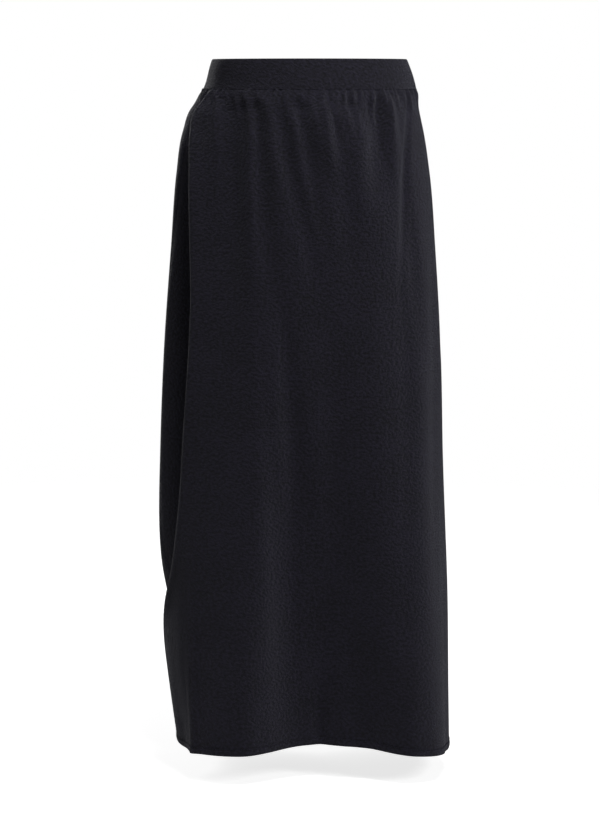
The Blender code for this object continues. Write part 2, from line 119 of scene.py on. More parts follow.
# Main creases and soft folds. Each lies at one distance across the skirt at its top and another at
# its foot, counted from the middle towards +X. Its top, its deepest place and its foot are drops. A
# depth below nothing is a ridge.
Fold = namedtuple("Fold", "across_top across_foot reach depth top deepest foot")
FRONT_FOLDS = (
    Fold(-0.190, -0.188, 0.0600, 0.0110, 0.820, 1.000, 1.40),
    Fold(-0.184, -0.175, 0.0433, -0.0042, 0.000, 0.447, 1.49),
    Fold(-0.172, -0.168, 0.0180, -0.0045, 0.690, 0.930, 1.30),
    Fold(-0.155, -0.136, 0.0276, 0.0028, 0.008, 0.098, 0.42),
    Fold(-0.141, -0.163, 0.0120, 0.0023, 0.005, 0.027, 0.10),
    Fold(-0.135, -0.151, 0.0099, -0.0012, 0.018, 0.032, 0.14),
    Fold(-0.118, -0.125, 0.0179, 0.0015, 0.000, 0.015, 0.15),
    Fold(-0.117, -0.116, 0.0539, 0.0129, 0.000, 0.033, 0.71),
    Fold(-0.104, -0.096, 0.0104, 0.0012, 0.001, 0.026, 0.13),
    Fold(-0.090, -0.076, 0.0115, -0.0023, 0.002, 0.016, 0.17),
    Fold(-0.084, 0.017, 0.0283, 0.0063, 0.004, 0.030, 0.84),
    Fold(-0.079, -0.017, 0.0231, 0.0018, 0.053, 0.103, 1.47),
    Fold(-0.077, -0.066, 0.0122, 0.0012, 0.026, 0.057, 0.11),
    Fold(-0.072, -0.023, 0.0164, -0.0016, 0.000, 0.014, 0.12),
    Fold(-0.068, -0.064, 0.0426, 0.0024, 0.143, 0.787, 1.49),
    Fold(-0.049, 0.024, 0.0229, 0.0061, 0.016, 0.068, 0.35),
    Fold(-0.045, 0.024, 0.0599, 0.0128, 0.256, 0.802, 1.46),
    Fold(-0.040, -0.035, 0.0089, 0.0013, 0.009, 0.023, 0.08),
    Fold(-0.034, -0.025, 0.0229, 0.0014, 0.061, 0.102, 0.91),
    Fold(-0.020, 0.037, 0.0214, 0.0038, 0.004, 0.045, 0.17),
    Fold(-0.018, 0.024, 0.0190, 0.0063, 0.008, 0.029, 0.24),
    Fold(-0.018, 0.086, 0.0467, -0.0062, 0.002, 0.049, 0.21),
    Fold(-0.003, 0.006, 0.0101, 0.0029, 0.012, 0.029, 0.08),
    Fold(0.012, 0.014, 0.0154, 0.0039, 0.817, 0.973, 1.34),
    Fold(0.019, 0.039, 0.0125, -0.0041, 0.006, 0.024, 0.14),
    Fold(0.019, -0.084, 0.0598, 0.0122, 0.005, 0.658, 1.42),
    Fold(0.026, 0.023, 0.0455, 0.0139, 0.210, 0.663, 1.04),
    Fold(0.033, 0.057, 0.0103, -0.0017, 0.002, 0.018, 0.11),
    Fold(0.036, 0.028, 0.1350, 0.0380, 0.380, 1.000, 1.40),
    Fold(0.038, 0.068, 0.0271, 0.0047, 0.001, 0.075, 0.34),
    Fold(0.039, 0.098, 0.0594, 0.0093, 0.118, 0.488, 1.49),
    Fold(0.042, 0.168, 0.0443, -0.0043, 0.017, 0.044, 0.38),
    Fold(0.057, 0.072, 0.0114, 0.0030, 0.009, 0.023, 0.10),
    Fold(0.058, 0.058, 0.0244, 0.0022, 0.386, 0.768, 1.30),
    Fold(0.077, 0.075, 0.0211, -0.0030, 0.044, 0.064, 0.15),
    Fold(0.084, 0.141, 0.0413, 0.0055, 0.000, 0.036, 0.38),
    Fold(0.085, 0.130, 0.0162, 0.0024, 0.006, 0.024, 0.18),
    Fold(0.108, 0.094, 0.0600, 0.0135, 0.789, 0.962, 1.23),
    Fold(0.109, 0.133, 0.0150, -0.0038, 0.000, 0.021, 0.13),
    Fold(0.116, 0.171, 0.0557, -0.0050, 0.030, 0.901, 1.25),
    Fold(0.122, 0.180, 0.0218, 0.0029, 0.000, 0.051, 0.56),
    Fold(0.125, 0.106, 0.0377, -0.0054, 0.000, 0.035, 0.35),
    Fold(0.144, 0.126, 0.0123, 0.0041, 0.002, 0.029, 0.38),
    Fold(0.160, 0.163, 0.0403, -0.0072, 0.017, 0.424, 1.44),
    Fold(0.176, 0.190, 0.0460, -0.0100, 0.420, 0.960, 1.40),
)
BACK_FOLDS = (
    Fold(-0.128, -0.138, 0.012, 0.0045, 0.000, 0.050, 0.190),
    Fold(-0.078, -0.068, 0.013, 0.0050, 0.000, 0.060, 0.240),
    Fold(-0.038, -0.022, 0.011, 0.0035, 0.010, 0.050, 0.160),
    Fold(0.004, 0.000, 0.012, 0.0045, 0.000, 0.050, 0.210),
    Fold(0.044, 0.062, 0.024, 0.0060, 0.010, 0.140, 0.430),
    Fold(0.092, 0.102, 0.012, 0.0060, 0.000, 0.040, 0.170),
    Fold(0.128, 0.142, 0.012, 0.0035, 0.020, 0.080, 0.200),
    Fold(-0.104, -0.108, 0.011, -0.0030, 0.000, 0.045, 0.140),
    Fold(0.026, 0.030, 0.012, -0.0030, 0.000, 0.050, 0.160),
    Fold(0.062, 0.072, 0.040, -0.0090, 0.280, 0.660, 0.970),
    Fold(0.014, 0.006, 0.020, 0.0050, 0.350, 0.560, 0.820),
    Fold(-0.030, -0.040, 0.120, 0.0300, 0.360, 1.000, 1.400),
    Fold(-0.024, -0.030, 0.016, 0.0070, 0.620, 0.960, 1.400),
    Fold(-0.150, -0.158, 0.044, -0.0090, 0.450, 0.950, 1.400),
)

# The gathers along the waist seam, from the side seam on -X across the front: the step from one
# trough to the next, how deep it is from crest to trough, and how far down it runs.
Gather = namedtuple("Gather", "step depth run")
FRONT_GATHERS = (
    Gather(0.0163, 0.0023, 0.0400),
    Gather(0.0169, 0.0025, 0.0452),
    Gather(0.0099, 0.0050, 0.0847),
    Gather(0.0229, 0.0044, 0.0410),
    Gather(0.0109, 0.0004, 0.0152),
    Gather(0.0227, 0.0008, 0.0154),
    Gather(0.0156, 0.0008, 0.0178),
    Gather(0.0246, 0.0027, 0.0201),
    Gather(0.0185, 0.0010, 0.0318),
    Gather(0.0092, 0.0000, 0.0271),
    Gather(0.0123, 0.0022, 0.0313),
    Gather(0.0240, 0.0027, 0.0286),
    Gather(0.0169, 0.0001, 0.0393),
    Gather(0.0131, 0.0011, 0.0229),
    Gather(0.0184, 0.0034, 0.0411),
    Gather(0.0122, 0.0003, 0.0525),
    Gather(0.0134, 0.0000, 0.0249),
    Gather(0.0182, 0.0049, 0.0369),
    Gather(0.0148, 0.0005, 0.0357),
    Gather(0.0131, 0.0046, 0.0564),
    Gather(0.0236, 0.0049, 0.0838),
    Gather(0.0156, 0.0000, 0.0121),
    Gather(0.0205, 0.0048, 0.0502),
    Gather(0.0148, 0.0049, 0.0374),
    Gather(0.0161, 0.0014, 0.0257),
    Gather(0.0152, 0.0025, 0.0424),
    Gather(0.0147, 0.0023, 0.0399),
)

# Both panels' gathers come to the same depth and run at the side seams. The back has the front's
# gathers, from another one on and in the other order.
SEAM_GATHER = Gather(0.0140, 0.0023, 0.0400)
BACK_SHIFT = 11
BACK_GATHERS = (FRONT_GATHERS[BACK_SHIFT:] + FRONT_GATHERS[:BACK_SHIFT])[::-1]

# The band holds each gather flatter at the seam, until the cloth is this far below it. Each one keeps
# its depth for a share of its run, and then fades.
PINCH_AT_SEAM = 0.5
PINCH_DROP = 0.009
STEADY_SHARE = 0.12

# How far the hem is lifted at each place round it. A place runs from 0 at the side seam on -X, over
# the front to 1 at the other side seam, and on over the back to 2.
Lift = namedtuple("Lift", "place lift")
HEM_LIFTS = (
    Lift(0.00, 0.006),
    Lift(0.12, -0.003),
    Lift(0.24, 0.000),
    Lift(0.36, 0.002),
    Lift(0.50, 0.007),
    Lift(0.64, 0.005),
    Lift(0.78, -0.003),
    Lift(0.90, -0.009),
    Lift(1.00, -0.007),
    Lift(1.25, 0.000),
    Lift(1.55, 0.005),
    Lift(1.80, 0.001),
    Lift(2.00, 0.006),
)

# Directions right round, from the side seam on -X over the front, and where the other seam comes.
RING_STEPS = 1440
ROUND = np.radians(np.linspace(180, 540, RING_STEPS + 1))
SIDE_SEAM = RING_STEPS // 2

# Slight unevenness of the hanging knit: soft waves of many widths, each of them less than a tenth of a
# millimetre high. They grow over the first hand's width below the waist seam.
WAVE_SEED = 5
WAVE_COUNT = 26
WAVE_HEIGHT = 0.0045
WAVE_TURNS = (14, 46)
WAVE_DRIFTS = (-16, 16)
WAVE_GROWTH = 0.08
waves_seed = np.random.default_rng(WAVE_SEED)
wave_turns = waves_seed.integers(*WAVE_TURNS, WAVE_COUNT)
wave_drifts = waves_seed.uniform(*WAVE_DRIFTS, WAVE_COUNT)
wave_starts = waves_seed.uniform(0, 2 * math.pi, WAVE_COUNT)

# Shallow creases below the front's waist seam, too fine for the solids.
CREASES = (
    Fold(-0.0865, -0.0830, 0.0125, -0.0030, 0.000, 0.050, 0.340),
    Fold(-0.0570, -0.0540, 0.0120, -0.0018, 0.000, 0.040, 0.200),
    Fold(-0.1075, -0.1080, 0.0150, 0.0024, 0.000, 0.060, 0.320),
    Fold(-0.1375, -0.1365, 0.0120, -0.0022, 0.000, 0.045, 0.150),
    Fold(-0.1470, -0.1500, 0.0058, -0.0021, 0.000, 0.016, 0.070),
    Fold(-0.1355, -0.1345, 0.0058, -0.0018, 0.000, 0.014, 0.055),
    Fold(-0.1210, -0.1205, 0.0055, -0.0010, 0.000, 0.012, 0.035),
    Fold(-0.1080, -0.1060, 0.0085, -0.0022, 0.000, 0.018, 0.070),
    Fold(-0.1150, -0.1140, 0.0420, -0.0045, 0.000, 0.030, 0.110),
    Fold(-0.0926, -0.0905, 0.0060, -0.0018, 0.000, 0.014, 0.060),
    Fold(-0.0720, -0.0715, 0.0060, -0.0012, 0.000, 0.012, 0.035),
    Fold(0.0990, 0.1050, 0.0080, 0.0032, 0.000, 0.018, 0.110),
    Fold(0.1130, 0.1190, 0.0085, -0.0028, 0.000, 0.018, 0.100),
)

# Small puckers where the gathered edge meets the band: short narrow crests, no two alike.
PUCKER_SEED = 23
PUCKER_COUNT = 92
PUCKER_HEIGHT = 0.0017
PUCKER_STEPS = (0.55, 1.45)
PUCKER_SIZES = (0.3, 1.2)
PUCKER_REACHES = (0.0095, 0.0140)
PUCKER_RUNS = (0.012, 0.042)
PUCKER_SLANTS = (-0.25, 0.25)
PUCKER_HOLD = 0.2
puckers_seed = np.random.default_rng(PUCKER_SEED)
pucker_steps = puckers_seed.uniform(*PUCKER_STEPS, PUCKER_COUNT)
pucker_places = 2 * np.cumsum(pucker_steps) / pucker_steps.sum()
pucker_heights = PUCKER_HEIGHT * puckers_seed.uniform(*PUCKER_SIZES, PUCKER_COUNT)
pucker_reaches = puckers_seed.uniform(*PUCKER_REACHES, PUCKER_COUNT)
pucker_runs = puckers_seed.uniform(*PUCKER_RUNS, PUCKER_COUNT)
pucker_slants = puckers_seed.uniform(*PUCKER_SLANTS, PUCKER_COUNT)


def through(rows, at):
    """A table's other columns at one value of its first, on a smooth curve through its rows."""
    table = np.array(rows)
    knots = table[:, 0]
    values = table[:, 1:]
    slopes = np.gradient(values, knots, axis=0)
    index = int(np.clip(np.searchsorted(knots, at) - 1, 0, len(knots) - 2))
    span = knots[index + 1] - knots[index]
    part = (at - knots[index]) / span
    start_weight = 2 * part**3 - 3 * part**2 + 1
    start_slope = part**3 - 2 * part**2 + part
    end_slope = part**3 - part**2
    return (
        start_weight * values[index]
        + (1 - start_weight) * values[index + 1]
        + start_slope * span * slopes[index]
        + end_slope * span * slopes[index + 1]
    )


def rise(value, low, high):
    """Nothing up to low and one from high on, with a smooth step between."""
    part = np.clip((value - low) / (high - low), 0, 1)
    return part * part * (3 - 2 * part)


def bump(offset, reach):
    """One in the middle of a fold, falling smoothly to nothing at its reach to each side."""
    return np.clip(1 - (offset / reach) ** 2, 0, None) ** 3


def plain_ring(drop):
    """The smooth plan right round at a drop, with no folds, as x, y and the distance along it."""
    reaches = through(SECTIONS, drop)
    waves = np.fft.rfft(reaches) / len(reaches)
    radius = waves[0].real + waves[4].real * np.cos(4 * ROUND)
    for count in (1, 2, 3):
        radius = radius + 2 * (waves[count] * np.exp(1j * count * ROUND)).real
    x = radius * np.cos(ROUND)
    y = radius * np.sin(ROUND)
    along = np.concatenate([[0], np.cumsum(np.hypot(np.diff(x), np.diff(y)))])
    return x, y, along


def fold_depth(folds, drop, distance, x, along):
    """How far a panel's folds push the cloth in at each distance along the plain ring."""
    depth = np.zeros_like(distance)
    for fold in folds:
        strength = rise(drop, fold.top, fold.deepest) * (1 - rise(drop, fold.deepest, fold.foot))
        if strength == 0:
            continue
        part = np.clip((drop - fold.top) / (fold.foot - fold.top), 0, 1)
        across = fold.across_top + (fold.across_foot - fold.across_top) * part
        middle = np.interp(across, x, along)
        depth += fold.depth * strength * bump(distance - middle, fold.reach)
    return depth


def gather_push(gathers, drop, share):
    """How far the gathers push the cloth out, at each share of the way across a panel."""
    troughs = np.concatenate([[0], np.cumsum([gather.step for gather in gathers])])
    troughs = troughs / troughs[-1]
    middles = [0, *((troughs[:-1] + troughs[1:]) / 2), 1]
    shown = [SEAM_GATHER, *gathers, SEAM_GATHER]
    phase = np.interp(share, troughs, np.arange(len(troughs)))
    depth = np.interp(share, middles, [gather.depth for gather in shown])
    run = np.interp(share, middles, [gather.run for gather in shown])
    pinch = PINCH_AT_SEAM + (1 - PINCH_AT_SEAM) * rise(drop, 0, PINCH_DROP)
    fade = 1 - rise(drop / run, STEADY_SHARE, 1)
    return -0.5 * depth * pinch * fade * np.cos(2 * math.pi * phase)


def unevenness(drop, place):
    """How far the soft waves push the cloth out at a drop, at places round it."""
    height = np.zeros_like(place)
    for turns, drift, start in zip(wave_turns, wave_drifts, wave_starts):
        height += np.sin(math.pi * turns * place + drift * drop + start) / turns**2
    return WAVE_HEIGHT * rise(drop, 0, WAVE_GROWTH) * height


def pucker_push(drop, place):
    """How far the puckers push the cloth out at a drop, at places round it."""
    push = np.zeros_like(place)
    for middle, height, reach, run, slant in zip(
        pucker_places, pucker_heights, pucker_reaches, pucker_runs, pucker_slants
    ):
        if drop < run:
            offset = (place - middle - slant * drop + 1) % 2 - 1
            push += height * bump(offset, reach) * (1 - rise(drop, PUCKER_HOLD * run, run))
    return push


def cloth_ring(drop, places):
    """Plan points on the cloth's outer side at a drop, at places round it, and its normals."""
    x, y, along = plain_ring(drop)
    half = along[SIDE_SEAM]
    whole = along[-1]
    over_front = slice(None, SIDE_SEAM + 1)
    over_back = slice(None, SIDE_SEAM, -1)
    nudge = 0.0004
    points = []
    for shift in (0, -nudge, nudge):
        place = (np.asarray(places) + shift) % 2
        distance = np.interp(place, [0, 1, 2], [0, half, whole])
        plan = np.stack([np.interp(distance, along, x), np.interp(distance, along, y)], axis=1)
        forward_x = np.interp(distance, along, np.gradient(x, along))
        forward_y = np.interp(distance, along, np.gradient(y, along))
        forward = np.stack([forward_x, forward_y], axis=1)
        forward /= np.linalg.norm(forward, axis=1, keepdims=True)
        outward = np.stack([forward[:, 1], -forward[:, 0]], axis=1)
        front = place < 1
        inward = np.where(
            front,
            fold_depth(FRONT_FOLDS + CREASES, drop, distance, x[over_front], along[over_front]),
            fold_depth(BACK_FOLDS, drop, distance, x[over_back], along[over_back]),
        )
        pushed = np.where(
            front,
            gather_push(FRONT_GATHERS, drop, place),
            gather_push(BACK_GATHERS, drop, place - 1),
        )
        pushed = pushed + unevenness(drop, place) + pucker_push(drop, place)
        lean = np.zeros_like(distance)
        for table, seam, side in ((LEFT_TUCK, 0.0, 1), (RIGHT_TUCK, half, -1)):
            tuck_place, reach, depth, tuck_lean, ridge = through(table, drop)
            offset = (distance - seam - side * tuck_place + whole / 2) % whole - whole / 2
            from_ridge = offset - side * RIDGE_PLACE * reach
            inward = inward + depth * bump(offset, reach)
            inward = inward - ridge * bump(from_ridge, RIDGE_REACH * reach)
            lean = lean + side * tuck_lean * bump(offset, reach)
        points.append(plan + outward * (pushed - inward)[:, None] + forward * lean[:, None])
    run = points[2] - points[1]
    run /= np.linalg.norm(run, axis=1, keepdims=True)
    return points[0], np.stack([run[:, 1], -run[:, 0]], axis=1)


def hem_lift(places):
    """How far the hem is lifted at places round it."""
    return np.array([through(HEM_LIFTS, place)[0] for place in places])


def cloth_row(drop, places, proud, wall, lift):
    """One row of points on the cloth's outer side and one on its inner side."""
    plan, normals = cloth_ring(drop, places)
    height = WAIST_SEAM - drop * (1 - lift / SKIRT_LENGTH)
    proud = np.broadcast_to(proud, len(plan))[:, None]
    outer = np.column_stack([plan + normals * proud, height])
    inner = np.column_stack([plan + normals * (proud - wall), height])
    return outer, inner


SHARP_ANGLE = math.radians(60)


def walled_mesh(name, rows, closed, materials):
    """A thin closed wall from its outer and inner rows of points, each row from the top down.

    Its UV map is the flat cloth in metres: across the knit from the middle, and down from the top.
    The faces inside take the second material.
    """
    outer = np.array([row[0] for row in rows])
    inner = np.array([row[1] for row in rows])
    levels, columns = outer.shape[:2]
    points = np.concatenate([outer.reshape(-1, 3), inner.reshape(-1, 3)])
    cells = columns if closed else columns - 1
    row_index, column_index = np.meshgrid(np.arange(levels - 1), np.arange(cells), indexing="ij")
    corner = (row_index * columns + column_index).ravel()
    beside = (row_index * columns + (column_index + 1) % columns).ravel()
    faces_out = np.stack([corner, corner + columns, beside + columns, beside], axis=1)
    faces_in = faces_out[:, ::-1] + levels * columns
    first = np.arange(cells)
    after = (first + 1) % columns
    inside = levels * columns
    last = (levels - 1) * columns
    faces_top = np.stack([first, after, after + inside, first + inside], axis=1)
    faces_foot = np.stack([first + inside, after + inside, after, first], axis=1) + last
    parts = [faces_out, faces_in, faces_top, faces_foot]
    if not closed:
        upper = np.arange(levels - 1) * columns
        lower = upper + columns
        end = columns - 1
        parts.append(np.stack([upper, upper + inside, lower + inside, lower], axis=1))
        parts.append(np.stack([upper + inside, upper, lower, lower + inside], axis=1) + end)
    faces = np.concatenate(parts)
    mesh = bpy.data.meshes.new(name)
    mesh.from_pydata(points.tolist(), [], faces.tolist())
    mesh.shade_smooth()
    mesh.set_sharp_from_angle(angle=SHARP_ANGLE)
    for material in materials:
        mesh.materials.append(material)
    inner_faces = np.zeros(len(faces), np.int32)
    inner_faces[len(faces_out) : len(faces_out) + len(faces_in)] = 1
    mesh.polygons.foreach_set("material_index", inner_faces)

    ring = np.concatenate([outer, outer[:, :1]], axis=1) if closed else outer
    steps = np.linalg.norm(np.diff(ring, axis=1), axis=2)
    across = np.concatenate([np.zeros((levels, 1)), np.cumsum(steps, axis=1)], axis=1)
    across = across - across[:, -1:] / 2
    drops = np.linalg.norm(np.diff(outer, axis=0), axis=2)
    down = np.concatenate([np.zeros((1, columns)), np.cumsum(drops, axis=0)])
    down = np.concatenate([down, down[:, :1]], axis=1) if closed else down
    flat = np.stack([across, -down], axis=2)
    point_row = np.tile(np.repeat(np.arange(levels), columns), 2)
    point_column = np.tile(np.tile(np.arange(columns), levels), 2)
    loops = faces.ravel()
    loop_row = point_row[loops]
    loop_column = point_column[loops].reshape(-1, 4)
    if closed:
        wraps = (loop_column.max(axis=1) == columns - 1) & (loop_column.min(axis=1) == 0)
        loop_column = np.where(wraps[:, None] & (loop_column == 0), columns, loop_column)
    uvs = flat[loop_row, loop_column.ravel()]
    layer = mesh.uv_layers.new(name="flat_cloth")
    layer.data.foreach_set("uv", uvs.astype(np.float32).ravel())
    made = bpy.data.objects.new(name, mesh)
    bpy.context.scene.collection.objects.link(made)
    return made


def linked(tree, kind, inputs=(), **settings):
    """A node with its settings, and its inputs set to values or linked to other sockets."""
    node = tree.nodes.new(kind)
    for key, value in settings.items():
        setattr(node, key, value)
    for socket, value in dict(inputs).items():
        if isinstance(value, bpy.types.NodeSocket):
            tree.links.new(value, node.inputs[socket])
        else:
            node.inputs[socket].default_value = value
    return node


def maths(tree, operation, *values):
    """The output of one Math node."""
    node = tree.nodes.new("ShaderNodeMath")
    node.operation = operation
    for socket, value in zip(node.inputs, values):
        if isinstance(value, bpy.types.NodeSocket):
            tree.links.new(value, socket)
        else:
            socket.default_value = value
    return node.outputs[0]


def shader_group(name, inputs, outputs):
    """An empty shader group with named inputs and outputs, and the two rows of sockets in it."""
    tree = bpy.data.node_groups.new(name, "ShaderNodeTree")
    for label, value in inputs.items():
        kind = "NodeSocketFloat" if isinstance(value, float) else "NodeSocketVector"
        socket = tree.interface.new_socket(label, in_out="INPUT", socket_type=kind)
        socket.default_value = value
    for label in outputs:
        tree.interface.new_socket(label, in_out="OUTPUT", socket_type="NodeSocketFloat")
    entry = tree.nodes.new("NodeGroupInput").outputs
    leave = tree.nodes.new("NodeGroupOutput").inputs
    return tree, entry, leave


# How wide a wale of the knit is, how high a course, whether its reverse shows, and how deep its
# relief is. The yarn wanders a little from its loops, and fine fibres stand out of it.
Knit = namedtuple("Knit", "wale course reverse depth")
PANEL_FACE = Knit(0.0017, 0.00125, 0.0, 0.00035)
PANEL_REVERSE = Knit(0.0017, 0.00125, 1.0, 0.00030)
WANDER_SCALE = 260.0
WANDER_SHARE = 0.25
LEG_SLANT = 1.5
STRAND_SHARE = 0.6
HEAD_SHIFT = 0.25
FIBRE_SCALE = 2600.0
FIBRE_SHARE = 0.5


def plain_knit_group():
    """Plain knit: wales of V-shaped loops on the face, rows of loop heads on the reverse; a mask for
    painted shade in the hollows.
    """
    tree, entry, leave = shader_group(
        "plain_knit",
        {
            "Flat Cloth": (0.0, 0.0, 0.0),
            "Wale Width": PANEL_FACE.wale,
            "Course Height": PANEL_FACE.course,
            "Reverse": PANEL_FACE.reverse,
            "Yarn Unevenness": WANDER_SHARE,
        },
        ("Height", "Painted Hollow Shade"),
    )
    split = linked(tree, "ShaderNodeSeparateXYZ", {"Vector": entry["Flat Cloth"]})
    wander = linked(
        tree,
        "ShaderNodeTexNoise",
        {"Vector": entry["Flat Cloth"], "Scale": WANDER_SCALE, "Detail": 2.0, "Roughness": 0.6},
    )
    aside = maths(tree, "SUBTRACT", wander.outputs[0], 0.5)
    shift = maths(tree, "MULTIPLY", aside, entry["Yarn Unevenness"])
    wale = maths(tree, "DIVIDE", split.outputs["X"], entry["Wale Width"])
    wale = maths(tree, "ADD", wale, shift)
    course = maths(tree, "DIVIDE", split.outputs["Y"], entry["Course Height"])
    course = maths(tree, "ADD", course, shift)

    from_middle = maths(tree, "SUBTRACT", maths(tree, "FRACT", wale), 0.5)
    in_wale = maths(tree, "ABSOLUTE", from_middle)
    leg = maths(tree, "SINE", maths(tree, "MULTIPLY", in_wale, 2 * math.pi))
    slanted = maths(tree, "ADD", course, maths(tree, "MULTIPLY", in_wale, LEG_SLANT))
    in_course = maths(tree, "FRACT", slanted)
    strand = maths(tree, "SINE", maths(tree, "MULTIPLY", in_course, math.pi))
    strand = maths(tree, "MULTIPLY", strand, STRAND_SHARE)
    face = maths(tree, "MULTIPLY", leg, maths(tree, "ADD", strand, 1 - STRAND_SHARE))

    head_wave = maths(tree, "COSINE", maths(tree, "MULTIPLY", wale, 2 * math.pi))
    head_shift = maths(tree, "MULTIPLY", head_wave, HEAD_SHIFT)
    head_course = maths(tree, "FRACT", maths(tree, "ADD", course, head_shift))
    head = maths(tree, "SINE", maths(tree, "MULTIPLY", head_course, math.pi))

    shown = linked(tree, "ShaderNodeMix", {"Factor": entry["Reverse"], "A": face, "B": head})
    loops = shown.outputs["Result"]
    fibre = linked(
        tree,
        "ShaderNodeTexNoise",
        {"Vector": entry["Flat Cloth"], "Scale": FIBRE_SCALE, "Detail": 3.0, "Roughness": 0.65},
    )
    fuzz = maths(tree, "SUBTRACT", fibre.outputs[0], 0.5)
    fuzz = maths(tree, "MULTIPLY", fuzz, FIBRE_SHARE)
    tree.links.new(maths(tree, "ADD", loops, fuzz), leave["Height"])
    # The lower the loops, the more painted shade: this mask darkens the colour in the hollows between
    # them.
    tree.links.new(maths(tree, "SUBTRACT", 1.0, loops), leave["Painted Hollow Shade"])
    return tree


# The slubs of the yarn, a few loops wide and high, and the wide patches that are a little lighter.
SLUB_SCALE = (215.0, 270.0, 1.0)
SLUB_HEIGHT = 0.0014
PATCH_SCALE = 16.0
PATCH_SHARE = 0.25
DARKEST_BLEND = 0.475
LIGHTEST_BLEND = 0.775


def uneven_yarn_group():
    """Yarn that is thick and thin by turns, in knit that is lighter in some patches."""
    tree, entry, leave = shader_group(
        "uneven_yarn",
        {
            "Flat Cloth": (0.0, 0.0, 0.0),
            "Slub Scale": SLUB_SCALE,
            "Patch Scale": PATCH_SCALE,
            "Patch Share": PATCH_SHARE,
        },
        ("Slub", "Lightness"),
    )
    stretched = linked(
        tree,
        "ShaderNodeMapping",
        {"Vector": entry["Flat Cloth"], "Scale": entry["Slub Scale"]},
    )
    slubs = linked(
        tree,
        "ShaderNodeTexNoise",
        {"Vector": stretched.outputs[0], "Scale": 1.0, "Detail": 1.0},
    )
    patches = linked(
        tree,
        "ShaderNodeTexNoise",
        {"Vector": entry["Flat Cloth"], "Scale": entry["Patch Scale"], "Detail": 4.0},
    )
    patch = maths(tree, "MULTIPLY", patches.outputs[0], entry["Patch Share"])
    spread = linked(
        tree,
        "ShaderNodeMapRange",
        {
            "Value": maths(tree, "ADD", slubs.outputs[0], patch),
            "From Min": DARKEST_BLEND,
            "From Max": LIGHTEST_BLEND,
        },
    )
    tree.links.new(slubs.outputs[0], leave["Slub"])
    tree.links.new(spread.outputs["Result"], leave["Lightness"])
    return tree


YARN = (0.0104, 0.0091, 0.0184)
# The colour of the painted shade mixed into the knit in the hollows between its loops.
PAINTED_HOLLOW_SHADE = (0.0047, 0.0041, 0.0083)
DARK_TONE = 0.20
LIGHT_TONE = 1.80
KNIT_FINISH = {
    "Roughness": 0.85,
    "Specular IOR Level": 0.25,
    "Sheen Weight": 0.10,
    "Sheen Roughness": 0.45,
    "Sheen Tint": (0.75, 0.75, 0.9, 1),
}
plain_knit = plain_knit_group()
uneven_yarn = uneven_yarn_group()


def knit_material(name, yarn, knit):
    """Black knit: matt yarn with a soft light fuzz at its edges, and painted shade darkening it
    between its loops.
    """
    material = bpy.data.materials.new(name)
    material.use_nodes = True
    tree = material.node_tree
    shader = tree.nodes["Principled BSDF"]
    cloth = linked(tree, "ShaderNodeUVMap", uv_map="flat_cloth").outputs["UV"]
    loops = linked(
        tree,
        "ShaderNodeGroup",
        {
            "Flat Cloth": cloth,
            "Wale Width": knit.wale,
            "Course Height": knit.course,
            "Reverse": knit.reverse,
        },
        node_tree=plain_knit,
    )
    uneven = linked(tree, "ShaderNodeGroup", {"Flat Cloth": cloth}, node_tree=uneven_yarn)
    tone = linked(
        tree,
        "ShaderNodeMix",
        {
            "Factor": uneven.outputs["Lightness"],
            "A": (*(DARK_TONE * part for part in yarn), 1),
            "B": (*(LIGHT_TONE * part for part in yarn), 1),
        },
        data_type="RGBA",
    )
    # Painted shade: the hollows between the loops take the darker colour.
    shade = linked(
        tree,
        "ShaderNodeMix",
        {
            "Factor": loops.outputs["Painted Hollow Shade"],
            "A": tone.outputs["Result"],
            "B": (*PAINTED_HOLLOW_SHADE, 1),
        },
        data_type="RGBA",
    )
    relief = linked(
        tree,
        "ShaderNodeBump",
        {"Height": loops.outputs["Height"], "Distance": knit.depth, "Strength": 1.0},
    )
    slubbed = linked(
        tree,
        "ShaderNodeBump",
        {
            "Height": uneven.outputs["Slub"],
            "Distance": SLUB_HEIGHT,
            "Normal": relief.outputs["Normal"],
        },
    )
    tree.links.new(shade.outputs["Result"], shader.inputs["Base Color"])
    tree.links.new(slubbed.outputs["Normal"], shader.inputs["Normal"])
    for socket, value in KNIT_FINISH.items():
        shader.inputs[socket].default_value = value
    return material


body_face = knit_material("body_knit_face", YARN, PANEL_FACE)
body_reverse = knit_material("body_knit_reverse", YARN, PANEL_REVERSE)
panel_foot = SKIRT_LENGTH - HEM_HEIGHT - SEAM_GAP
row_share = np.linspace(0, 1, PANEL_ROWS)
row_share = TOP_ROW_SHARE * row_share + (1 - TOP_ROW_SHARE) * row_share**ROW_SPREAD
panel_drops = row_share * panel_foot
panels = {}
panel_places = {}
for name, node, side in (("front_cloth", "front_panel", 0), ("back_cloth", "back_panel", 1)):
    places = side + np.linspace(0, 1, PANEL_COLUMNS + 1)
    lift = hem_lift(places)
    from_seam = np.minimum(places - side, side + 1 - places) * PANEL_ACROSS
    groove = SIDE_GROOVE * (1 - rise(from_seam, 0, SIDE_GROOVE_REACH))
    rows = []
    for drop in (*TUCKED_DROPS, *panel_drops):
        tucked = TUCKED_IN * (1 - rise(drop, TUCKED_DROPS[0], TUCKED_OUT_DROP))
        rows.append(cloth_row(drop, places, -groove - tucked, CLOTH_WALL, lift))
    panels[name] = walled_mesh(name, rows, False, (body_face, body_reverse))
    panel_places[name] = places
    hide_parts(node)
    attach(panels[name], "root")

